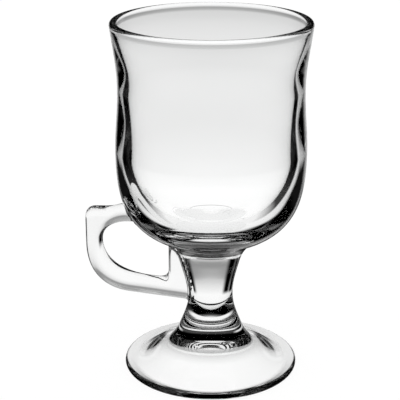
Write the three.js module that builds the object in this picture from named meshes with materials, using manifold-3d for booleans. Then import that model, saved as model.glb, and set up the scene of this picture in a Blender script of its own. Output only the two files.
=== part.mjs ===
// Footed glass mug for hot drinks: a bell bowl, a waisted stem, a hollow flared foot and a one-finger handle.
// Millimetres, +Z up. The origin is on the standing plane, in the middle of the whole mug's length and width.
// The handle points along -X, and X-Z is its plane.

import * as THREE from 'three';
import { mergeVertices } from 'three/addons/utils/BufferGeometryUtils.js';
import Module from 'manifold-3d';

const wasm = await Module();
wasm.setup();

// Driving dimensions of the turned glass: radii from its axis, heights above the table
const GLASS_HEIGHT = 137.5;
const RIM_RADIUS = 37.5;
const LIP_THICKNESS = 2.9;
const WAIST_RADIUS = 34.95;
const WAIST_HEIGHT = 112;
const WAIST_WALL = 3.8;
const BELLY_RADIUS = 36.15;
const BELLY_HEIGHT = 88;
const BELLY_WALL = 5.6;
const UNDERSIDE_RADIUS = 20;
const UNDERSIDE_HEIGHT = 54;
const BOTTOM_THICKNESS = 8;
const FLOOR_RADIUS = 10;
const NECK_RADIUS = 11.3;
const NECK_HEIGHT = 44;
const STEM_RADIUS = 8.55;
const STEM_WAIST_HEIGHT = 30;
const ANKLE_RADIUS = 12.4;
const ANKLE_HEIGHT = 16;
const FOOT_RADIUS = 33.9;
const FOOT_EDGE_THICKNESS = 2.8;
const STANDING_RING_RADIUS = 29;
const HOLLOW_HEIGHT = 11;

// Lean of the side at each height where its curves meet: radius gained per height
const RIM_LEAN = 0.13;
const LIP_INSIDE_LEAN = 0.2;
const UNDERSIDE_LEAN = 2.27;
const NECK_LEAN = 0.27;
const ANKLE_LEAN = -0.43;
const FOOT_EDGE_ANGLE = 0.44 * Math.PI;

// Shares of the height between two of these places over which a curve eases out of its lean
const SHORT_EASE = 0.18;
const EASE = 0.36;
const LONG_EASE = 0.47;

// Driving dimensions of the handle
const HANDLE_WIDTH = 9;
const HANDLE_ROUNDING = 2.6;
const HANDLE_REACH = 48.4;
const GRIP_THICKNESS = 6.4;
const GRIP_BEND_HEIGHT = 50.5;
const GRIP_EASE = 12;
const THUMB_REST_HEIGHT = 64.8;
const THUMB_REST_LENGTH = 8;
const THUMB_REST_RISE = 1.2;
const THUMB_REST_RAMP = 9;
const THUMB_REST_CORNER = 4;
const UPPER_ARM_THICKNESS = 6;
const LOWER_ARM_HEIGHT = 26.8;
const LOWER_ARM_THICKNESS = 7.2;
const LOWER_ARM_RISE = 3.5;
const LOWER_ARM_TURN = 32;
const LOWER_ARM_EASE = 10;
const OPENING_CORNER = 7.5;
const WEB_RADIUS = 16.4;
const WEB_FILLET = 3.6;

// Clearance where the handle is fitted to the turned glass
const FIT_GAP = 0.3;

// Fineness of the faceted surfaces
const AROUND = 60;
const CURVE_STEPS = 6;
const ROUNDING_STEPS = 4;

// The glass's axis stands off the middle of the mug by half of what the handle adds
const AXIS_OFFSET = (HANDLE_REACH - RIM_RADIUS) / 2;

const rim = { radius: RIM_RADIUS, height: GLASS_HEIGHT - LIP_THICKNESS / 2, lean: RIM_LEAN };
const waist = { radius: WAIST_RADIUS, height: WAIST_HEIGHT, lean: 0 };
const belly = { radius: BELLY_RADIUS, height: BELLY_HEIGHT, lean: 0 };
const underside = { radius: UNDERSIDE_RADIUS, height: UNDERSIDE_HEIGHT, lean: UNDERSIDE_LEAN };
const neck = { radius: NECK_RADIUS, height: NECK_HEIGHT, lean: NECK_LEAN };
const stemWaist = { radius: STEM_RADIUS, height: STEM_WAIST_HEIGHT, lean: 0 };
const ankle = { radius: ANKLE_RADIUS, height: ANKLE_HEIGHT, lean: ANKLE_LEAN };

function clearGlass() {
  return new THREE.MeshStandardMaterial({
    color: 0xf3f7f6,
    roughness: 0.03,
    metalness: 0,
    transparent: true,
    opacity: 0.35,
  });
}

function piece(name, geometry) {
  const mesh = new THREE.Mesh(geometry, clearGlass());
  mesh.name = name;
  geometry.translate(AXIS_OFFSET, 0, 0);
  return mesh;
}

function pointsOf(path) {
  const points = path.getPoints(CURVE_STEPS);
  return points.filter((point, i) => i === 0 || point.distanceTo(points[i - 1]) > 1e-6);
}

// A profile of radius and height, turned about +Z
function revolve(profile) {
  const geometry = new THREE.LatheGeometry(profile, AROUND);
  geometry.rotateX(Math.PI / 2);
  return geometry;
}

function solidOf(geometry) {
  const bare = geometry.clone();
  bare.deleteAttribute('normal');
  bare.deleteAttribute('uv');
  const merged = mergeVertices(bare, 1e-4);
  return new wasm.Manifold(new wasm.Mesh({
    numProp: 3,
    vertProperties: new Float32Array(merged.attributes.position.array),
    triVerts: new Uint32Array(merged.index.array),
  }));
}

function geometryOf(solid) {
  const mesh = solid.getMesh();
  const geometry = new THREE.BufferGeometry();
  geometry.setAttribute('position', new THREE.BufferAttribute(new Float32Array(mesh.vertProperties), 3));
  geometry.setIndex(new THREE.BufferAttribute(new Uint32Array(mesh.triVerts), 1));
  geometry.computeVertexNormals();
  return geometry;
}

// A curve from one place on the profile to the next, leaving and arriving along their leans
function curveTo(path, start, end, leave, arrive) {
  const rise = end.height - start.height;
  path.bezierCurveTo(
    start.radius + start.lean * leave * rise, start.height + leave * rise,
    end.radius - end.lean * arrive * rise, end.height - arrive * rise,
    end.radius, end.height,
  );
}

// The underside of the foot from the axis: a domed hollow, then the flat ring that the glass stands on
function drawFootHollow(path) {
  path.bezierCurveTo(
    0.45 * STANDING_RING_RADIUS, HOLLOW_HEIGHT,
    0.72 * STANDING_RING_RADIUS, 0.23 * HOLLOW_HEIGHT,
    STANDING_RING_RADIUS, 0,
  );
  path.lineTo(FOOT_RADIUS - FOOT_EDGE_THICKNESS / 2, 0);
}

// The side of the foot from its standing ring to the ankle: a round edge, then a flare
function drawFootSide(path) {
  const edge = FOOT_EDGE_THICKNESS / 2;
  const centre = FOOT_RADIUS - edge;
  const edgeEnd = {
    radius: centre + edge * Math.cos(FOOT_EDGE_ANGLE),
    height: edge + edge * Math.sin(FOOT_EDGE_ANGLE),
    lean: -Math.tan(FOOT_EDGE_ANGLE),
  };
  path.absarc(centre, edge, edge, -Math.PI / 2, FOOT_EDGE_ANGLE, false);
  curveTo(path, edgeEnd, ankle, SHORT_EASE, LONG_EASE);
}

// The side of the stem from the ankle through its waist to the neck
function drawStemSide(path) {
  curveTo(path, ankle, stemWaist, EASE, EASE);
  curveTo(path, stemWaist, neck, EASE, EASE);
}

// The outside of the bowl from the neck over the belly and the waist to the lip
function drawBowlSide(path) {
  curveTo(path, neck, underside, LONG_EASE, SHORT_EASE);
  curveTo(path, underside, belly, SHORT_EASE, LONG_EASE);
  curveTo(path, belly, waist, EASE, EASE);
  curveTo(path, waist, rim, EASE, EASE);
}

// The inside of the bowl from the lip to the thick round bottom
function drawBowlInside(path) {
  const waistInside = WAIST_RADIUS - WAIST_WALL;
  const bellyInside = BELLY_RADIUS - BELLY_WALL;
  const lean = (waistInside - bellyInside) / (WAIST_HEIGHT - BELLY_HEIGHT);
  const floor = UNDERSIDE_HEIGHT + BOTTOM_THICKNESS;
  const depth = BELLY_HEIGHT - floor;
  const lip = { radius: RIM_RADIUS - LIP_THICKNESS, height: rim.height, lean: LIP_INSIDE_LEAN };
  const inside = { radius: waistInside, height: WAIST_HEIGHT, lean };
  curveTo(path, lip, inside, EASE, EASE);
  path.lineTo(bellyInside, BELLY_HEIGHT);
  path.bezierCurveTo(
    bellyInside - lean * depth / 2, BELLY_HEIGHT - depth / 2,
    0.85 * bellyInside, floor,
    FLOOR_RADIUS, floor,
  );
  path.lineTo(0, floor);
}

function makeFoot() {
  const path = new THREE.Path();
  path.moveTo(0, HOLLOW_HEIGHT);
  drawFootHollow(path);
  drawFootSide(path);
  path.lineTo(0, ANKLE_HEIGHT);
  return piece('foot', revolve(pointsOf(path)));
}

function makeStem() {
  const path = new THREE.Path();
  path.moveTo(0, ANKLE_HEIGHT);
  path.lineTo(ANKLE_RADIUS, ANKLE_HEIGHT);
  drawStemSide(path);
  path.lineTo(0, NECK_HEIGHT);
  return piece('stem', revolve(pointsOf(path)));
}

function makeBowl() {
  const lip = LIP_THICKNESS / 2;
  const path = new THREE.Path();
  path.moveTo(0, NECK_HEIGHT);
  path.lineTo(NECK_RADIUS, NECK_HEIGHT);
  drawBowlSide(path);
  path.absarc(RIM_RADIUS - lip, GLASS_HEIGHT - lip, lip, 0, Math.PI, false);
  drawBowlInside(path);
  return piece('bowl', revolve(pointsOf(path)));
}

// The stem and the bowl as one full solid, grown by the fitting clearance
function fittedBody() {
  const path = new THREE.Path();
  path.moveTo(ANKLE_RADIUS, ANKLE_HEIGHT);
  drawStemSide(path);
  drawBowlSide(path);
  const side = pointsOf(path);
  const grown = side.map((point, i) => {
    const before = side[Math.max(i - 1, 0)];
    const after = side[Math.min(i + 1, side.length - 1)];
    const along = after.clone().sub(before).normalize();
    return new THREE.Vector2(point.x + FIT_GAP * along.y, point.y - FIT_GAP * along.x);
  });
  const bottom = new THREE.Vector2(0, grown[0].y);
  const top = new THREE.Vector2(0, grown[grown.length - 1].y);
  return solidOf(revolve([bottom, ...grown, top]));
}

// The handle's side view in distance from the axis and height; its ends run into the turned glass
function handleOutline() {
  const reach = HANDLE_REACH;
  const gripInside = reach - GRIP_THICKNESS;
  const restEnd = reach - THUMB_REST_LENGTH;
  const rampEnd = restEnd - THUMB_REST_RAMP;
  const rampMiddle = (restEnd + rampEnd) / 2;
  const crest = THUMB_REST_HEIGHT + THUMB_REST_RISE;
  const armUnder = THUMB_REST_HEIGHT + THUMB_REST_RISE / 2 - UPPER_ARM_THICKNESS;
  const turnUnder = LOWER_ARM_HEIGHT + LOWER_ARM_RISE;
  const lowerTop = LOWER_ARM_HEIGHT + LOWER_ARM_RISE / 2 + LOWER_ARM_THICKNESS;
  const slope = LOWER_ARM_RISE / (LOWER_ARM_TURN - STEM_RADIUS);
  const buried = STEM_RADIUS / 2;
  const outline = new THREE.Shape();

  // Thumb rest
  outline.moveTo(UNDERSIDE_RADIUS, crest);
  outline.lineTo(rampEnd, crest);
  outline.bezierCurveTo(rampMiddle, crest, rampMiddle, THUMB_REST_HEIGHT, restEnd, THUMB_REST_HEIGHT);
  outline.lineTo(reach - THUMB_REST_CORNER, THUMB_REST_HEIGHT);
  outline.quadraticCurveTo(reach, THUMB_REST_HEIGHT, reach, THUMB_REST_HEIGHT - THUMB_REST_CORNER);

  // Outside of the grip and underside of the lower arm
  outline.lineTo(reach, GRIP_BEND_HEIGHT);
  outline.bezierCurveTo(
    reach, GRIP_BEND_HEIGHT - GRIP_EASE,
    LOWER_ARM_TURN + LOWER_ARM_EASE, turnUnder + LOWER_ARM_EASE * slope,
    LOWER_ARM_TURN, turnUnder,
  );
  outline.lineTo(STEM_RADIUS, LOWER_ARM_HEIGHT);
  outline.lineTo(buried, LOWER_ARM_HEIGHT);

  // Edge of the web and top of the lower arm
  outline.lineTo(buried, UNDERSIDE_HEIGHT);
  outline.lineTo(WEB_RADIUS, UNDERSIDE_HEIGHT);
  outline.lineTo(WEB_RADIUS, lowerTop + WEB_FILLET);
  outline.quadraticCurveTo(WEB_RADIUS, lowerTop, WEB_RADIUS + WEB_FILLET, lowerTop);

  // Inside of the grip and underside of the upper arm
  outline.bezierCurveTo(
    1.1 * LOWER_ARM_TURN, lowerTop + 1,
    gripInside, lowerTop + OPENING_CORNER,
    gripInside, GRIP_BEND_HEIGHT + 1,
  );
  outline.bezierCurveTo(
    gripInside, GRIP_BEND_HEIGHT + UPPER_ARM_THICKNESS,
    gripInside - THUMB_REST_CORNER, armUnder,
    LOWER_ARM_TURN, armUnder,
  );
  outline.lineTo(UNDERSIDE_RADIUS, armUnder);
  outline.closePath();
  return outline;
}

function makeHandle() {
  const flat = HANDLE_WIDTH - 2 * HANDLE_ROUNDING;
  const plate = new THREE.ExtrudeGeometry(handleOutline(), {
    depth: flat,
    curveSegments: CURVE_STEPS,
    bevelThickness: HANDLE_ROUNDING,
    bevelSize: HANDLE_ROUNDING,
    bevelOffset: -HANDLE_ROUNDING,
    bevelSegments: ROUNDING_STEPS,
  });
  plate.translate(0, 0, -flat / 2);
  plate.rotateX(Math.PI / 2);
  plate.rotateZ(Math.PI);
  return piece('handle', geometryOf(solidOf(plate).subtract(fittedBody())));
}

const glass = new THREE.Group();
glass.name = 'footed_glass_mug';
glass.add(makeFoot(), makeStem(), makeBowl(), makeHandle());

export default glass;
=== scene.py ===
"""Clear pressed-glass mug for hot drinks, on a plain white ground.

Named lengths are millimetres in the mug's own frame: +Z up, the handle along -X.
Named angles are degrees, apart from the foot's edge, which is in radians.
"""
import bisect
import math

import bmesh
import bpy
from mathutils import Matrix, Vector
from mathutils.geometry import delaunay_2d_cdt


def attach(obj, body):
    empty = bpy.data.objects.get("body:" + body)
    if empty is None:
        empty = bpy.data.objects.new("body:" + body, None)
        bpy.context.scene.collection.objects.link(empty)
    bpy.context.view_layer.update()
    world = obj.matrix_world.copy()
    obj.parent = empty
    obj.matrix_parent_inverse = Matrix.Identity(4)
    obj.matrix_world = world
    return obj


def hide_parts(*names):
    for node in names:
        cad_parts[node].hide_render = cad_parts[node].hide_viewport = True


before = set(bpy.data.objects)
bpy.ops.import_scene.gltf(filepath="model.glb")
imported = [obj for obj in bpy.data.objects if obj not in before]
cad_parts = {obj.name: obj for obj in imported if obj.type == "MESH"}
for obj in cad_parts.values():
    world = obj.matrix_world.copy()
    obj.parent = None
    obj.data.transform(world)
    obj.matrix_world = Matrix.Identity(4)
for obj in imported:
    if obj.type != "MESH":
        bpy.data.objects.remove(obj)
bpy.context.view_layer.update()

MM = 0.001
PIECES = ("foot", "stem", "bowl", "handle")

# Turned glass: radii and heights
GLASS_HEIGHT = 137.5
RIM_RADIUS = 37.5
LIP_THICKNESS = 2.9
LIP_HEIGHT = GLASS_HEIGHT - LIP_THICKNESS / 2
WAIST_HEIGHT = 112
BELLY_HEIGHT = 88
BELLY_INSIDE = 30.55
INSIDE_LEAN = 0.025
FLOOR_HEIGHT = 62
FLOOR_RADIUS = 10
FLOOR_FULLNESS = 0.85
NECK_HEIGHT = 44
ANKLE_HEIGHT = 16
FOOT_RADIUS = 33.9
FOOT_EDGE_THICKNESS = 2.8
FOOT_EDGE_ANGLE = 0.44 * math.pi
STANDING_RING_RADIUS = 29

# Hollow under the foot: its height, and the shares of its radius and height that draw its curve
HOLLOW_HEIGHT = 11
HOLLOW_LEVEL = 0.45
HOLLOW_BEND = (0.72, 0.23)

# Places on the turned glass: radius, height, radius gained per height
ANKLE = (12.4, ANKLE_HEIGHT, -0.43)
STEM_WAIST = (8.55, 30, 0)
NECK = (11.3, NECK_HEIGHT, 0.27)
UNDERSIDE = (20, 54, 2.27)
BELLY = (36.15, BELLY_HEIGHT, 0)
WAIST = (34.95, WAIST_HEIGHT, 0)
RIM = (RIM_RADIUS, LIP_HEIGHT, 0.13)
LIP_INSIDE = (RIM_RADIUS - LIP_THICKNESS, LIP_HEIGHT, -0.08)
BEAD_END = (34.62, 134.2, 0.1)
WAIST_INSIDE = (31.15, WAIST_HEIGHT, INSIDE_LEAN)

# How far a curve follows the lean at one of its ends, as a share of its rise
SHORT_EASE = 0.18
EASE = 0.36
LONG_EASE = 0.47
BEAD_START_EASE = 0.4
BEAD_END_EASE = 0.3

# Handle: distances from the glass's axis, heights and thicknesses
HANDLE_WIDTH = 8.4
HANDLE_REACH = 48.4
GRIP_THICKNESS = 6.4
GRIP_BEND_HEIGHT = 50.5
GRIP_EASE = 12
THUMB_REST_HEIGHT = 64.8
THUMB_REST_LENGTH = 8
THUMB_REST_RISE = 1.2
THUMB_REST_RAMP = 9
THUMB_REST_CORNER = 4
UPPER_ARM_THICKNESS = 6
LOWER_ARM_HEIGHT = 26.8
LOWER_ARM_THICKNESS = 7.2
LOWER_ARM_RISE = 3.5
LOWER_ARM_TURN = 32
LOWER_ARM_EASE = 10
LOWER_ARM_EASE_RISE = 1.5
OPENING_CORNER = 7.5
OPENING_EASE = 3.2
OPENING_RISE = 1
WEB_RADIUS = 16.4
WEB_FILLET = 3.6

# Corners of the handle's outline that are inside the turned glass
UPPER_ARM_TOP_END = 26.6
UPPER_ARM_UNDER_END = 20.5
WEB_TOP_END = 58.3
BURIED_RADIUS = 1.5
BURIED_BOTTOM = 26.25
BURIED_TOP = 57.5

# Rounding of the handle's edges: how far in it reaches, and how full its curve is, where 2 is an ellipse
GRIP_ROUNDING = 2.95
UPPER_ARM_ROUNDING = 2.6
ROUNDING_FULLNESS = 2.3

# Heights between which the grip's rounding becomes the upper arm's
ROUNDING_CHANGE = (46, 56)

# Distances from the turned glass's outside between which the rounding comes in, both inside the glass
ROUNDING_START = (-3.6, -1.2)

# Radius of the flares with which the handle grows out of the turned glass
JOINT_FILLET = 1.6

# Fineness of the meshes: faces around the turned glass, steps of the rounding, and lengths on the handle
AROUND = 240
ROUNDING_STEPS = 9
HANDLE_STEP = 0.3
SIDE_GRID = 0.6

# Where the handle's sides have a grid: distance from the axis, heights, and how far past the flares
GRID_REACH = 50
GRID_HEIGHTS = (24, 68)
GRID_INNER_MARGIN = 1.5
GRID_OUTER_MARGIN = 1

# Angle from which two faces meet in a sharp edge
SHARP_ANGLE = 38

# What the triangulation is asked for: the triangles inside the outline, and when two places are the same
TRIANGLES_INSIDE = 1
SAME_PLACE = 1e-7

# Glass: its share of the usual gloss, its refraction, its waves' depth, length and noise, and its tint
GLOSS = 0.2
REFRACTIVE_INDEX = 1.5
WAVINESS = 0.01
WAVE_LENGTH = 18
WAVE_DETAIL = 1.5
WAVE_ROUGHNESS = 0.4
TINT = (0.985, 0.99, 0.988, 1)
WHITE = (1, 1, 1, 1)

# Sockets of a mix node: its two numbers, its two colours, and the colour that comes out
MIX_NUMBERS = (2, 3)
MIX_COLOURS = (6, 7)
MIXED_COLOUR = 2

# Camera: its place to the side, in front and above, and how far it is turned round the glass and down
CAMERA_ASIDE = -4.21
CAMERA_DISTANCE = 451
CAMERA_HEIGHT = 225
CAMERA_TURN = 2
CAMERA_TILT = 19.2

# Lens: the photograph's width and the focal length in its pixels, the sensor, and the nearest place seen
PICTURE_WIDTH = 400
FOCAL_LENGTH = 1248
SENSOR_WIDTH = 36
NEAREST_SEEN = 10

# How many surfaces light passes on its way through both sides of the bowl's wall
WALL_SURFACES = 4

# How often light is thrown back before and after it loses brightness, and what is left of it then
OFTEN = (2, 3)
OFTEN_REFLECTED = 0.25

# Level of light that was thrown back and also passed both sides of the bowl's wall
DEEP_LEVEL = 0.92

# Highest level that a table of levels can have
BRIGHTEST = 1.25

# Middle of the lit field, from +Y towards +X
FIELD_TURN = 2

# Each table of levels has stops of a rise, which is an angle above the horizon, and the level there.
# For light that was thrown back in the glass: towards the lit field, beside it, and away from it.
FIELD_REFLECTED = ((-50, 1), (-18, 0.85), (-12, 0.4), (-7, 0.12), (0, 0.08), (10, 0.04), (18, 0),
                   (64, 0), (75, 0.01), (85, 0.03))
BESIDE_REFLECTED = ((-58, 0.95), (-50, 0.5), (-45, 0.06), (-30, 0.02), (-22, 0), (60, 0))
AWAY_REFLECTED = ((-85, 0.7), (-74, 0.15), (-64, 0), (-4, 0), (6, 0.03), (24, 0.03), (31, 0),
                  (62, 0), (74, 0.03))

# For light through both sides of the bowl's wall, and through solid glass
WALL_LEVELS = ((-31, 1.05), (-25.5, 0.98), (-24, 0.9), (-22, 0.87), (-18, 0.84), (-15, 0.79),
               (-12, 0.64), (-8, 0.52), (0, 0.44))
SOLID_LEVELS = ((-24, 0.98), (-20, 0.92), (-16, 0.85), (-12, 0.76), (-8, 0.62), (-6, 0.44),
                (-4, 0.34), (-1, 0.3), (8, 0.33), (15, 0.42), (25, 0.5), (45, 0.5))

# For steep light from the ground through solid glass: towards the lit field, and beside it
FIELD_STEEP = ((-72, 0.08), (-60, 0.35), (-54, 0.7), (-48, 1), (-45, 1), (-30, 0))
BESIDE_STEEP = ((-60, 0.05), (-50, 0.15), (-45, 0.5), (-42, 1), (-40, 1), (-30, 0))

# Angles from the middle of the lit field between which light changes from one level to the next
BESIDE_STARTS = (28, 34)
AWAY_STARTS = (95, 112)
STEEP_CHANGES = (42, 55)
PALE_STARTS = (70, 80)
GLOSS_ENDS = (20, 33)

# Rises between which the light from above starts, and the gloss ends
ABOVE_STARTS = (50, 68)
GLOSS_TOP = (-8, 4)

# Strip of light at the edge of the lit field, for light that was thrown back
STRIP_STARTS = (22, 28)
STRIP_ENDS = (44, 56)
STRIP_BOTTOM = (2, 5)
STRIP_TOP = (12, 18)
STRIP_LEVEL = 0.75

# Dark stripes beside the lit field, for light through solid glass: where each starts and ends, and how
# much of it stays further out
DARK_STRIPES = (((24, 34), (42, 47), 0.7), ((48, 53), (68, 74), 0))

# Rises between which the dark stripes start, above the pale ground
STRIPES_BOTTOM = (-27, -19)

# Ground: its reach from the middle, its gap under the foot, its own colour and the light that it gives
GROUND_REACH = 4000
GROUND_GAP = 0.1
GROUND_COLOUR = (0.1, 0.1, 0.1, 1)
GROUND_LIGHT = 0.92

# Dark patch of ground beyond the glass, for light that was thrown back: distances from the axis between
# which it starts and ends, the level past it, and the angles from +Y between which it ends to both sides
PATCH_STARTS = (35, 75)
PATCH_ENDS = (160, 240)
LEVEL_PAST_PATCH = 0.8
PATCH_SIDES = (25, 40)

# Painted shadow: a black ring of ground under the foot's edge, for light that passed so many surfaces
# straight:
# distances from the axis between which it starts and ends
SHADOW_RING_SURFACES = 4
SHADOW_RING_STARTS = (28.5, 29.5)
SHADOW_RING_ENDS = (34.5, 37)

# How often light may be thrown back or pass a surface
LIGHT_BOUNCES = 32

# Place of the glass's axis: the whole mug's length is centred on the frame
AXIS_X = (HANDLE_REACH - RIM_RADIUS) / 2


# Curves in the plane of a profile

def bezier(points, c1, c2, end, steps):
    """Adds a cubic curve from the last point."""
    start = points[-1]
    for i in range(1, steps + 1):
        t = i / steps
        s = 1 - t
        points.append(tuple(s**3 * a + 3 * s * s * t * b + 3 * s * t * t * c + t**3 * d
                            for a, b, c, d in zip(start, c1, c2, end)))


def quadratic(points, control, end, steps):
    """Adds a curve with one control point from the last point."""
    start = points[-1]
    c1 = tuple(a + 2 / 3 * (b - a) for a, b in zip(start, control))
    c2 = tuple(d + 2 / 3 * (b - d) for d, b in zip(end, control))
    bezier(points, c1, c2, end, steps)


def arc(points, centre, radius, start, end, steps):
    """Adds a round stretch between two angles in radians, which starts at the last point."""
    points.pop()
    for i in range(steps + 1):
        angle = start + (end - start) * i / steps
        points.append((centre[0] + radius * math.cos(angle), centre[1] + radius * math.sin(angle)))


def curve_to(points, start, end, leave, arrive, steps):
    """Adds a curve between two places of the profile, along their leans."""
    rise = end[1] - start[1]
    c1 = (start[0] + start[2] * leave * rise, start[1] + leave * rise)
    c2 = (end[0] - end[2] * arrive * rise, end[1] - arrive * rise)
    bezier(points, c1, c2, end[:2], steps)


def line_to(points, end, steps):
    """Adds a straight stretch from the last point."""
    start = points[-1]
    for i in range(1, steps + 1):
        t = i / steps
        points.append(tuple(a + (b - a) * t for a, b in zip(start, end)))


# Outlines

def draw_foot(points):
    """Adds the foot's section, from the middle of the hollow to the ankle."""
    edge = FOOT_EDGE_THICKNESS / 2
    centre = FOOT_RADIUS - edge
    points.append((0, HOLLOW_HEIGHT))
    bezier(points, (HOLLOW_LEVEL * STANDING_RING_RADIUS, HOLLOW_HEIGHT),
           (HOLLOW_BEND[0] * STANDING_RING_RADIUS, HOLLOW_BEND[1] * HOLLOW_HEIGHT),
           (STANDING_RING_RADIUS, 0), steps=34)
    line_to(points, (centre, 0), steps=3)
    arc(points, (centre, edge), edge, -math.pi / 2, FOOT_EDGE_ANGLE, steps=12)
    edge_end = (points[-1][0], points[-1][1], -math.tan(FOOT_EDGE_ANGLE))
    curve_to(points, edge_end, ANKLE, SHORT_EASE, LONG_EASE, steps=30)


def draw_outside(points):
    """Adds the outside, from the ankle to where the lip's rounding starts."""
    curve_to(points, ANKLE, STEM_WAIST, EASE, EASE, steps=16)
    curve_to(points, STEM_WAIST, NECK, EASE, EASE, steps=16)
    curve_to(points, NECK, UNDERSIDE, LONG_EASE, SHORT_EASE, steps=20)
    curve_to(points, UNDERSIDE, BELLY, SHORT_EASE, LONG_EASE, steps=36)
    curve_to(points, BELLY, WAIST, EASE, EASE, steps=16)
    curve_to(points, WAIST, RIM, EASE, EASE, steps=16)


def draw_inside(points):
    """Adds the lip, the bead inside it, and the bowl's inside down to the middle of its floor."""
    lip = LIP_THICKNESS / 2
    arc(points, (RIM_RADIUS - lip, GLASS_HEIGHT - lip), lip, 0, math.pi, steps=18)
    curve_to(points, LIP_INSIDE, BEAD_END, BEAD_START_EASE, BEAD_END_EASE, steps=10)
    curve_to(points, BEAD_END, WAIST_INSIDE, EASE, EASE, steps=16)
    line_to(points, (BELLY_INSIDE, BELLY_HEIGHT), steps=8)
    depth = BELLY_HEIGHT - FLOOR_HEIGHT
    bezier(points, (BELLY_INSIDE - INSIDE_LEAN * depth / 2, BELLY_HEIGHT - depth / 2),
           (FLOOR_FULLNESS * BELLY_INSIDE, FLOOR_HEIGHT), (FLOOR_RADIUS, FLOOR_HEIGHT), steps=40)
    line_to(points, (0, FLOOR_HEIGHT), steps=4)


def turned_profile():
    """The whole section of the turned glass, from the middle of the hollow to the middle of the floor."""
    points = []
    draw_foot(points)
    draw_outside(points)
    draw_inside(points)
    return points


def handle_outline():
    """The handle's side view as distance from the glass's axis and height; its ends are inside the glass."""
    reach = HANDLE_REACH
    grip_inside = reach - GRIP_THICKNESS
    rest_end = reach - THUMB_REST_LENGTH
    ramp_end = rest_end - THUMB_REST_RAMP
    ramp_middle = (rest_end + ramp_end) / 2
    crest = THUMB_REST_HEIGHT + THUMB_REST_RISE
    arm_under = THUMB_REST_HEIGHT + THUMB_REST_RISE / 2 - UPPER_ARM_THICKNESS
    turn_under = LOWER_ARM_HEIGHT + LOWER_ARM_RISE
    lower_top = LOWER_ARM_HEIGHT + LOWER_ARM_RISE / 2 + LOWER_ARM_THICKNESS

    # Thumb rest
    points = [(UPPER_ARM_TOP_END, crest), (ramp_end, crest)]
    bezier(points, (ramp_middle, crest), (ramp_middle, THUMB_REST_HEIGHT),
           (rest_end, THUMB_REST_HEIGHT), steps=14)
    points.append((reach - THUMB_REST_CORNER, THUMB_REST_HEIGHT))
    quadratic(points, (reach, THUMB_REST_HEIGHT), (reach, THUMB_REST_HEIGHT - THUMB_REST_CORNER), steps=12)

    # Outside of the grip and underside of the lower arm
    line_to(points, (reach, GRIP_BEND_HEIGHT), steps=6)
    bezier(points, (reach, GRIP_BEND_HEIGHT - GRIP_EASE),
           (LOWER_ARM_TURN + LOWER_ARM_EASE, turn_under + LOWER_ARM_EASE_RISE),
           (LOWER_ARM_TURN, turn_under), steps=24)
    line_to(points, (BURIED_RADIUS, BURIED_BOTTOM), steps=12)

    # Edge of the web and top of the lower arm
    line_to(points, (BURIED_RADIUS, BURIED_TOP), steps=4)
    line_to(points, (WEB_RADIUS, WEB_TOP_END), steps=4)
    line_to(points, (WEB_RADIUS, lower_top + WEB_FILLET), steps=8)
    quadratic(points, (WEB_RADIUS, lower_top), (WEB_RADIUS + WEB_FILLET, lower_top), steps=8)

    # Inside of the grip and underside of the upper arm
    bezier(points, (LOWER_ARM_TURN + OPENING_EASE, lower_top + OPENING_RISE),
           (grip_inside, lower_top + OPENING_CORNER),
           (grip_inside, GRIP_BEND_HEIGHT + OPENING_RISE), steps=28)
    bezier(points, (grip_inside, GRIP_BEND_HEIGHT + UPPER_ARM_THICKNESS),
           (grip_inside - THUMB_REST_CORNER, arm_under), (LOWER_ARM_TURN, arm_under), steps=14)
    line_to(points, (UPPER_ARM_UNDER_END, arm_under), steps=6)
    return points


# The outside above the ankle, for the handle's flares
OUTSIDE = [ANKLE[:2]]
draw_outside(OUTSIDE)
OUTSIDE_HEIGHTS = [height for _, height in OUTSIDE]


# Meshes

def mesh_object(name, bm):
    """A new object of the scene from a mesh that is still being built."""
    bmesh.ops.recalc_face_normals(bm, faces=bm.faces)
    mesh = bpy.data.meshes.new(name)
    bm.to_mesh(mesh)
    bm.free()
    piece = bpy.data.objects.new(name, mesh)
    bpy.context.scene.collection.objects.link(piece)
    return piece


def turned_piece(height):
    """The name of the piece that the turned glass belongs to at a height."""
    if height < ANKLE_HEIGHT:
        return "foot"
    return "stem" if height < NECK_HEIGHT else "bowl"


def turned_glass():
    """The turned profile as one closed surface; a face's material number is its piece's place in PIECES."""
    bm = bmesh.new()
    rings = []
    for radius, height in turned_profile():
        if radius == 0:
            rings.append([bm.verts.new((AXIS_X * MM, 0, height * MM))])
            continue
        ring = []
        for k in range(AROUND):
            angle = 2 * math.pi * (k + 0.5) / AROUND
            ring.append(bm.verts.new(((AXIS_X + radius * math.cos(angle)) * MM,
                                      radius * math.sin(angle) * MM, height * MM)))
        rings.append(ring)
    for lower, upper in zip(rings, rings[1:]):
        for k in range(AROUND):
            n = (k + 1) % AROUND
            if len(lower) == 1:
                corners = (lower[0], upper[n], upper[k])
            elif len(upper) == 1:
                corners = (lower[k], lower[n], upper[0])
            else:
                corners = (lower[k], lower[n], upper[n], upper[k])
            face = bm.faces.new(corners)
            middle = sum(v.co.z for v in corners) / len(corners) / MM
            face.material_index = PIECES.index(turned_piece(middle))
    return mesh_object("turned", bm)


def spaced(points, gap):
    """The closed line through the points, at even distances."""
    lengths = [math.dist(a, b) for a, b in zip(points, points[1:] + points[:1])]
    count = round(sum(lengths) / gap)
    even = []
    k, passed = 0, 0.0
    for i in range(count):
        target = sum(lengths) * i / count
        while passed + lengths[k] < target:
            passed += lengths[k]
            k += 1
        share = (target - passed) / lengths[k]
        even.append(tuple(a + (b - a) * share for a, b in zip(points[k], points[(k + 1) % len(points)])))
    return even


def share_between(value, low, high):
    """How far a value is on its way from low to high, held between 0 and 1."""
    return min(max((value - low) / (high - low), 0), 1)


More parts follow.
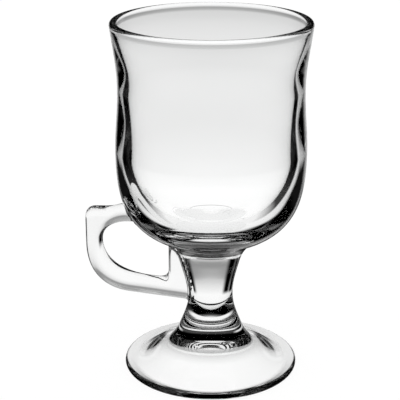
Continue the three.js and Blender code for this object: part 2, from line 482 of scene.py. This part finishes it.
def outside_distance(point):
    """How far a point in metres is outside the turned glass, in millimetres."""
    height = point.z / MM
    radius = math.hypot(point.x / MM - AXIS_X, point.y / MM)
    place = bisect.bisect_left(OUTSIDE_HEIGHTS, height)
    (r0, z0), (r1, z1) = OUTSIDE[place - 1], OUTSIDE[place]
    slope = (r1 - r0) / (z1 - z0)
    return (radius - r0 - slope * (height - z0)) / math.hypot(1, slope)


def inside(place, line):
    """Whether a place is inside a closed line."""
    crossings = 0
    for (q0, z0), (q1, z1) in zip(line, line[1:] + line[:1]):
        if (z0 > place[1]) != (z1 > place[1]) and place[0] < q0 + (q1 - q0) * (place[1] - z0) / (z1 - z0):
            crossings += 1
    return crossings % 2 == 1


def side_grid(line):
    """Places on the handle's side in a fine grid, in its outline and where it flares into the glass."""
    bottom, top = (int(height / SIDE_GRID) for height in GRID_HEIGHTS)
    grid = []
    for i in range(int(GRID_REACH / SIDE_GRID)):
        for j in range(bottom, top):
            place = (i * SIDE_GRID, (j + i % 2 / 2) * SIDE_GRID)
            distance = outside_distance(Vector((AXIS_X - place[0], HANDLE_WIDTH / 2, place[1])) * MM)
            if -GRID_INNER_MARGIN < distance < JOINT_FILLET + GRID_OUTER_MARGIN and inside(place, line):
                if min(math.dist(place, other) for other in line) > SIDE_GRID / 2:
                    grid.append(place)
    return grid


def close_sides(bm, rings):
    """Fills the handle's two flat sides."""
    count = len(rings[0])
    line = [(AXIS_X - v.co.x / MM, v.co.z / MM) for v in rings[-1]]
    points = [Vector(place) for place in line + side_grid(line)]
    edges = [(k, (k + 1) % count) for k in range(count)]
    places, _, triangles, origins, _, _ = delaunay_2d_cdt(points, edges, [], TRIANGLES_INSIDE, SAME_PLACE)

    # Places that come from the outline are its own corners, and the others are new ones
    for ring in (rings[0], rings[-1]):
        corners = []
        for place, origin in zip(places, origins):
            number = min(origin)
            if number < count:
                corners.append(ring[number])
            else:
                corners.append(bm.verts.new(((AXIS_X - place.x) * MM, ring[0].co.y, place.y * MM)))
        for triangle in triangles:
            bm.faces.new([corners[k] for k in triangle])


def inward_directions(outline):
    """The direction into a closed line that runs clockwise, at each of its points."""
    directions = []
    for k in range(len(outline)):
        (q0, z0), (q1, z1) = outline[k - 1], outline[(k + 1) % len(outline)]
        length = math.dist((q0, z0), (q1, z1))
        directions.append(((z1 - z0) / length, (q0 - q1) / length))
    return directions


def rounding(q, z):
    """How far in from a point of the handle's outline its rounding reaches: not at all deep in the glass."""
    thin = share_between(z, *ROUNDING_CHANGE)
    free = share_between(outside_distance(Vector((AXIS_X - q, 0, z)) * MM), *ROUNDING_START)
    return (GRIP_ROUNDING + (UPPER_ARM_ROUNDING - GRIP_ROUNDING) * thin) * free


def flare(point):
    """How far the handle swells out at a point near the turned glass."""
    near = max(JOINT_FILLET - max(outside_distance(point), 0), 0)
    return JOINT_FILLET - math.sqrt(JOINT_FILLET ** 2 - near ** 2)


def plain_handle():
    """The handle as a closed solid: flat sides, rounded edges, and flares where it joins the glass."""
    bm = bmesh.new()
    outline = spaced(handle_outline(), HANDLE_STEP)
    directions = inward_directions(outline)
    insets = [rounding(q, z) for q, z in outline]
    rings = []
    for j in range(-ROUNDING_STEPS, ROUNDING_STEPS + 1):
        angle = math.pi / 2 * j / ROUNDING_STEPS
        across = math.copysign(abs(math.sin(angle)) ** (2 / ROUNDING_FULLNESS), angle)
        depth = 1 - abs(math.cos(angle)) ** (2 / ROUNDING_FULLNESS)
        ring = []
        for (q, z), (u, w), inset in zip(outline, directions, insets):
            ring.append(bm.verts.new(((AXIS_X - q - u * depth * inset) * MM, HANDLE_WIDTH / 2 * across * MM,
                                      (z + w * depth * inset) * MM)))
        rings.append(ring)
    for lower, upper in zip(rings, rings[1:]):
        for k in range(len(outline)):
            n = (k + 1) % len(outline)
            bm.faces.new((lower[k], lower[n], upper[n], upper[k]))
    close_sides(bm, rings)
    bmesh.ops.recalc_face_normals(bm, faces=bm.faces)
    bm.normal_update()
    for v in bm.verts:
        v.co += v.normal * flare(v.co) * MM
    for face in bm.faces:
        face.material_index = PIECES.index("handle")
    return mesh_object("handle_solid", bm)


def fused(body, handle):
    """One closed surface of both, with smooth normals at its corners."""
    join = body.modifiers.new("join", "BOOLEAN")
    join.operation = "UNION"
    join.solver = "EXACT"
    join.object = handle
    mesh = bpy.data.meshes.new_from_object(body.evaluated_get(bpy.context.evaluated_depsgraph_get()))
    whole = bpy.data.objects.new("whole", mesh)
    bpy.context.scene.collection.objects.link(whole)
    for used in (body, handle):
        bpy.data.objects.remove(used)
    mesh.shade_smooth()
    mesh.set_sharp_from_angle(angle=math.radians(SHARP_ANGLE))
    weigh = whole.modifiers.new("weigh", "WEIGHTED_NORMAL")
    weigh.mode = "FACE_AREA"
    weigh.keep_sharp = True
    bpy.context.view_layer.update()
    smooth = bpy.data.meshes.new_from_object(whole.evaluated_get(bpy.context.evaluated_depsgraph_get()))
    bpy.data.objects.remove(whole)
    return smooth


def split(mesh, number, name):
    """The faces of one piece, with the normals that they have in the whole."""
    normals = [Vector(n.vector) for n in mesh.corner_normals]
    used = {}
    faces = []
    corner_normals = []
    for polygon in mesh.polygons:
        if polygon.material_index != number:
            continue
        faces.append([used.setdefault(v, len(used)) for v in polygon.vertices])
        corner_normals += [normals[i] for i in polygon.loop_indices]
    points = [mesh.vertices[v].co for v in used]
    own = bpy.data.meshes.new(name)
    own.from_pydata(points, [], faces)
    own.shade_smooth()
    own.normals_split_custom_set(corner_normals)
    piece = bpy.data.objects.new(name, own)
    bpy.context.scene.collection.objects.link(piece)
    return piece


# Shader helpers

def degrees(*values):
    """Angles in radians from angles in degrees."""
    return tuple(math.radians(v) for v in values)


def metres(*values):
    """Lengths in metres from lengths in millimetres."""
    return tuple(v * MM for v in values)


def add_node(tree, kind, **values):
    """A new node with some of its settings."""
    node = tree.nodes.new(kind)
    for key, value in values.items():
        setattr(node, key, value)
    return node


def plug(tree, value, socket):
    """Gives a socket a fixed value, or the value of another socket."""
    if isinstance(value, bpy.types.NodeSocket):
        tree.links.new(value, socket)
    else:
        socket.default_value = value


def calc(tree, operation, *values):
    """The result of one step of arithmetic."""
    node = add_node(tree, "ShaderNodeMath", operation=operation)
    for value, socket in zip(values, node.inputs):
        plug(tree, value, socket)
    return node.outputs[0]


def product(tree, *values):
    """All the values multiplied."""
    result = values[0]
    for value in values[1:]:
        result = calc(tree, "MULTIPLY", result, value)
    return result


def most(tree, *values):
    """The highest of the values."""
    result = values[0]
    for value in values[1:]:
        result = calc(tree, "MAXIMUM", result, value)
    return result


def without(tree, share):
    """What a share leaves of 1."""
    return calc(tree, "SUBTRACT", 1, share)


def at_least(tree, depth, count):
    """1 for a ray that has met that many surfaces or more in one way, otherwise 0."""
    return calc(tree, "GREATER_THAN", depth, count - 0.5)


def at_most(tree, depth, count):
    """1 for a ray that has met that many surfaces or fewer in one way, otherwise 0."""
    return calc(tree, "LESS_THAN", depth, count + 0.5)


def ramp(tree, value, low, high, at_low, at_high, smooth=False):
    """A value that goes from at_low at low to at_high at high, and stays there."""
    node = add_node(tree, "ShaderNodeMapRange", clamp=True)
    node.interpolation_type = "SMOOTHSTEP" if smooth else "LINEAR"
    for given, socket in zip((value, low, high, at_low, at_high), node.inputs):
        plug(tree, given, socket)
    return node.outputs[0]


def change(tree, angle, limits, at_low=0, at_high=1, smooth=True):
    """A change between two angles, given in degrees."""
    return ramp(tree, angle, *degrees(*limits), at_low, at_high, smooth=smooth)


def choose(tree, share, one, other):
    """one where share is 0, other where it is 1."""
    node = add_node(tree, "ShaderNodeMix", data_type="FLOAT")
    plug(tree, share, node.inputs[0])
    for value, number in zip((one, other), MIX_NUMBERS):
        plug(tree, value, node.inputs[number])
    return node.outputs[0]


def levels(tree, angle, stops):
    """Brightness that follows straight lines between stops of (degrees, level)."""
    low, high = stops[0][0], stops[-1][0]
    place = ramp(tree, angle, *degrees(low, high), 0, 1)
    node = add_node(tree, "ShaderNodeValToRGB")
    plug(tree, place, node.inputs[0])
    elements = node.color_ramp.elements
    while len(elements) < len(stops):
        # A new stop starts in the middle, and the loop below puts it in its place
        elements.new(0.5)
    for element, (angle_there, level) in zip(elements, stops):
        element.position = (angle_there - low) / (high - low)
        element.color = (level / BRIGHTEST,) * 3 + (1,)
    return calc(tree, "MULTIPLY", node.outputs[0], BRIGHTEST)


# Materials

def clear_glass():
    """Colourless pressed glass, with a very slightly wavy surface and a trace of tint."""
    material = bpy.data.materials.new("clear_pressed_glass")
    material.use_nodes = True
    tree = material.node_tree
    shader = tree.nodes["Principled BSDF"]
    shader.inputs["Roughness"].default_value = 0
    shader.inputs["IOR"].default_value = REFRACTIVE_INDEX
    shader.inputs["Transmission Weight"].default_value = 1
    shader.inputs["Specular Tint"].default_value = (GLOSS, GLOSS, GLOSS, 1)
    place = add_node(tree, "ShaderNodeTexCoord").outputs["Object"]
    waves = add_node(tree, "ShaderNodeTexNoise")
    plug(tree, place, waves.inputs["Vector"])
    waves.inputs["Scale"].default_value = 1 / (WAVE_LENGTH * MM)
    waves.inputs["Detail"].default_value = WAVE_DETAIL
    waves.inputs["Roughness"].default_value = WAVE_ROUGHNESS
    bump = add_node(tree, "ShaderNodeBump")
    bump.inputs["Distance"].default_value = WAVINESS * MM
    plug(tree, waves.outputs[0], bump.inputs["Height"])
    plug(tree, bump.outputs[0], shader.inputs["Normal"])
    tint = add_node(tree, "ShaderNodeMix", data_type="RGBA")
    plug(tree, waves.outputs[0], tint.inputs[0])
    for colour, number in zip((WHITE, TINT), MIX_COLOURS):
        tint.inputs[number].default_value = colour
    plug(tree, tint.outputs[MIXED_COLOUR], shader.inputs["Base Color"])
    return material


# Light

def thrown_back(tree, path):
    """1 for light that was thrown back and hasn't passed both sides of the bowl's wall, otherwise 0."""
    return product(tree, at_least(tree, path.outputs["Glossy Depth"], 1),
                   at_most(tree, path.outputs["Transmission Depth"], WALL_SURFACES - 1))


def ray_angles(tree):
    """A ray's angle from the middle of the lit field, to either side, and its rise above the horizon."""
    axes = add_node(tree, "ShaderNodeSeparateXYZ")
    plug(tree, add_node(tree, "ShaderNodeTexCoord").outputs["Generated"], axes.inputs[0])
    turn = calc(tree, "ARCTAN2", axes.outputs[0], axes.outputs[1])
    side = calc(tree, "ABSOLUTE", calc(tree, "SUBTRACT", turn, math.radians(FIELD_TURN)))
    return side, calc(tree, "ARCSINE", axes.outputs[2])


def reflected_light(tree, side, rise):
    """For light thrown back in the glass: a bright ground, dark surroundings and a strip beside the field."""
    field = levels(tree, rise, FIELD_REFLECTED)
    beside = levels(tree, rise, BESIDE_REFLECTED)
    away = levels(tree, rise, AWAY_REFLECTED)
    around = choose(tree, change(tree, side, BESIDE_STARTS), field,
                    choose(tree, change(tree, side, AWAY_STARTS), beside, away))
    strip = product(tree, change(tree, side, STRIP_STARTS, smooth=False),
                    change(tree, side, STRIP_ENDS, STRIP_LEVEL, 0, smooth=False),
                    change(tree, rise, STRIP_BOTTOM, smooth=False),
                    change(tree, rise, STRIP_TOP, 1, 0, smooth=False))
    return most(tree, around, strip)


def solid_light(tree, side, rise, wall_light):
    """For light through solid glass: a lit field with dark stripes beside it, and pale beyond them."""
    field = levels(tree, rise, SOLID_LEVELS)
    upright = change(tree, rise, STRIPES_BOTTOM)
    for start, end, left in DARK_STRIPES:
        stripe = product(tree, change(tree, side, start), change(tree, side, end, 1, left), upright)
        field = product(tree, field, without(tree, stripe))
    steep = choose(tree, change(tree, side, STEEP_CHANGES), levels(tree, rise, FIELD_STEEP),
                   levels(tree, rise, BESIDE_STEEP))
    near = most(tree, field, steep, change(tree, rise, ABOVE_STARTS))
    return choose(tree, change(tree, side, PALE_STARTS), near, wall_light)


def light_world(tree):
    """How bright the surroundings are, by a ray's direction and by how it came through the glass."""
    path = add_node(tree, "ShaderNodeLightPath")
    side, rise = ray_angles(tree)
    glossy = at_least(tree, path.outputs["Glossy Depth"], 1)
    through_walls = at_least(tree, path.outputs["Transmission Depth"], WALL_SURFACES)

    # Through the glass, and thrown back in it
    wall_light = levels(tree, rise, WALL_LEVELS)
    through = choose(tree, through_walls, solid_light(tree, side, rise, wall_light),
                     choose(tree, glossy, wall_light, DEEP_LEVEL))
    often = ramp(tree, path.outputs["Glossy Depth"], *OFTEN, 1, OFTEN_REFLECTED)
    reflected = product(tree, often, reflected_light(tree, side, rise))
    seen = choose(tree, thrown_back(tree, path), through, reflected)

    # Thrown back from the outside of the glass
    outer = product(tree, glossy, at_most(tree, path.outputs["Transmission Depth"], 0))
    gloss = product(tree, change(tree, side, GLOSS_ENDS, 1, 0), change(tree, rise, GLOSS_TOP, 1, 0))
    seen = choose(tree, outer, seen, gloss)

    # Plain white for the camera's own rays and for the ground
    plain = calc(tree, "MAXIMUM", path.outputs["Is Camera Ray"], path.outputs["Is Diffuse Ray"])
    background = tree.nodes["Background"]
    background.inputs["Color"].default_value = WHITE
    plug(tree, choose(tree, plain, seen, 1), background.inputs["Strength"])


def ground_share(tree, path):
    """How much light the ground lets through, for rays that came through the glass or off it."""
    spot = add_node(tree, "ShaderNodeSeparateXYZ")
    plug(tree, add_node(tree, "ShaderNodeTexCoord").outputs["Object"], spot.inputs[0])
    across = calc(tree, "SUBTRACT", spot.outputs[0], AXIS_X * MM)
    along = spot.outputs[1]
    squares = [product(tree, part, part) for part in (across, along)]
    distance = calc(tree, "SQRT", calc(tree, "ADD", *squares))

    # Thrown back in the glass: bright apart from the dark patch beyond it
    turn = calc(tree, "ABSOLUTE", calc(tree, "ARCTAN2", across, along))
    reflected = most(tree, ramp(tree, distance, *metres(*PATCH_STARTS), 1, 0, smooth=True),
                     ramp(tree, distance, *metres(*PATCH_ENDS), 0, LEVEL_PAST_PATCH, smooth=True),
                     change(tree, turn, PATCH_SIDES))

    # Other light: bright apart from a painted shadow, the black ring under the foot's edge
    straight = product(tree, calc(tree, "COMPARE", path.outputs["Transmission Depth"], SHADOW_RING_SURFACES, 0.5),
                       at_most(tree, path.outputs["Glossy Depth"], 0))
    # Painted shadow under the foot's edge: a black ring on the ground
    ring = product(tree, ramp(tree, distance, *metres(*SHADOW_RING_STARTS), 0, 1),
                   ramp(tree, distance, *metres(*SHADOW_RING_ENDS), 1, 0))
    clear = without(tree, product(tree, straight, ring))
    return choose(tree, thrown_back(tree, path), clear, reflected)


def make_ground():
    """A white ground with a faint shadow, which rays from the glass pass to the light beyond it.
    For those rays it has a painted shadow ring under the foot's edge and a dark patch beyond the glass.
    """
    bm = bmesh.new()
    bmesh.ops.create_grid(bm, x_segments=1, y_segments=1, size=GROUND_REACH * MM)
    floor = mesh_object("floor", bm)
    floor.location.z = -GROUND_GAP * MM
    material = bpy.data.materials.new("ground")
    material.use_nodes = True
    tree = material.node_tree
    tree.nodes.remove(tree.nodes["Principled BSDF"])
    path = add_node(tree, "ShaderNodeLightPath")
    diffuse = add_node(tree, "ShaderNodeBsdfDiffuse")
    diffuse.inputs["Color"].default_value = GROUND_COLOUR
    white = add_node(tree, "ShaderNodeEmission")
    white.inputs["Strength"].default_value = GROUND_LIGHT
    both = add_node(tree, "ShaderNodeAddShader")
    plug(tree, diffuse.outputs[0], both.inputs[0])
    plug(tree, white.outputs[0], both.inputs[1])
    clear = add_node(tree, "ShaderNodeBsdfTransparent")
    plug(tree, ground_share(tree, path), clear.inputs["Color"])
    pick = add_node(tree, "ShaderNodeMixShader")
    from_glass = calc(tree, "MAXIMUM", path.outputs["Is Transmission Ray"], path.outputs["Is Glossy Ray"])
    plug(tree, from_glass, pick.inputs[0])
    plug(tree, both.outputs[0], pick.inputs[1])
    plug(tree, clear.outputs[0], pick.inputs[2])
    plug(tree, pick.outputs[0], tree.nodes["Material Output"].inputs[0])
    floor.data.materials.append(material)


# Camera

def make_camera():
    """The photograph's view, from above in front with the handle at the left."""
    data = bpy.data.cameras.new("camera")
    data.sensor_width = SENSOR_WIDTH
    data.lens = SENSOR_WIDTH * FOCAL_LENGTH / PICTURE_WIDTH
    data.clip_start = NEAREST_SEEN * MM
    camera = bpy.data.objects.new("camera", data)
    bpy.context.scene.collection.objects.link(camera)
    turn = Matrix.Rotation(math.radians(CAMERA_TURN), 4, "Z")
    place = Vector(metres(CAMERA_ASIDE, -CAMERA_DISTANCE, CAMERA_HEIGHT))
    camera.location = turn @ place + Vector((AXIS_X * MM, 0, 0))
    camera.rotation_euler = (turn @ Matrix.Rotation(math.radians(90 - CAMERA_TILT), 4, "X")).to_euler()
    bpy.context.scene.camera = camera


# The scene

make_camera()
make_ground()
world = bpy.data.worlds.new("studio")
world.use_nodes = True
bpy.context.scene.world = world
light_world(world.node_tree)

whole = fused(turned_glass(), plain_handle())
glass = clear_glass()
for number, name in enumerate(PIECES):
    piece = split(whole, number, name + "_glass")
    piece.data.materials.append(glass)
    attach(piece, "root")
    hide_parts(name)

scene = bpy.context.scene
scene.view_settings.view_transform = "Standard"
scene.cycles.max_bounces = LIGHT_BOUNCES
scene.cycles.transmission_bounces = LIGHT_BOUNCES
scene.cycles.glossy_bounces = LIGHT_BOUNCES
scene.cycles.transparent_max_bounces = LIGHT_BOUNCES
